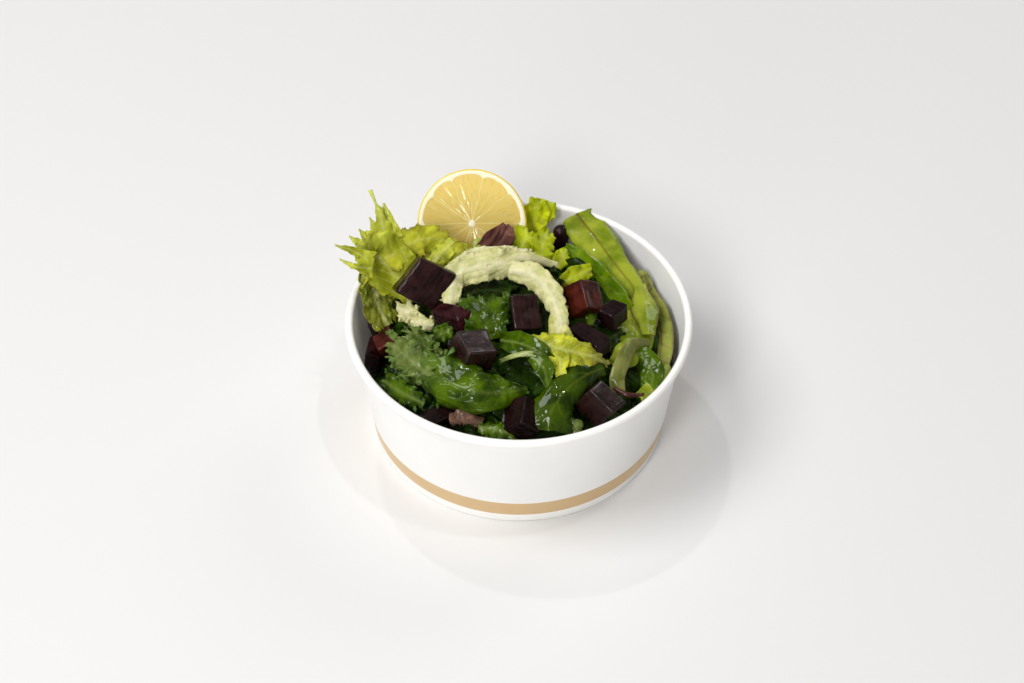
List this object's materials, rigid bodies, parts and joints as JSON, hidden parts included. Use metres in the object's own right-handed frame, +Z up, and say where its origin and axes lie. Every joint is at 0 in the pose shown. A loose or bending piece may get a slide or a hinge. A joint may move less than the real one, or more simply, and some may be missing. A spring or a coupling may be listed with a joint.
{
  "type": "green salad in a paper cup",
  "caption": "Heaped green salad of mixed leaves, diced beetroot and a slice of lemon, in a round white paper cup with a plain gold band.",
  "frame": {"origin": "middle of the underside of the whole outline, on the plane that the cup stands on; the cup's own axis is 2 mm to the +X side, because one lettuce leaf hangs over the rim at -X", "axes": "+Z up out of the cup, +Y towards the far side where the lemon leans, +X to the right as seen from the front"},
  "size_m": [0.154, 0.15, 0.0932],
  "materials": {
    "cup_paper": "satin white coated paper with a plain gold band printed near the base",
    "salad_leaves": "fresh lettuce, kale, chard and napa cabbage, wet with dressing",
    "lemon": "cut lemon: yellow rind, white pith, translucent flesh",
    "beetroot": "cooked beetroot, dark purple and moist"
  },
  "bodies": {
    "root": {"cup": "cup_paper", "leaf_heap": "salad_leaves", "lemon_slice": "lemon", "beet_big": "beetroot", "beet_centre": "beetroot", "beet_block": "beetroot", "beet_right_red": "beetroot", "beet_right_small": "beetroot", "beet_stick": "beetroot", "beet_front_right": "beetroot", "beet_front": "beetroot", "beet_long": "beetroot", "beet_left_back": "beetroot", "beet_left_wall": "beetroot", "beet_left_red": "beetroot", "beet_front_left": "beetroot", "beet_back": "beetroot"}
  },
  "joints": []
}
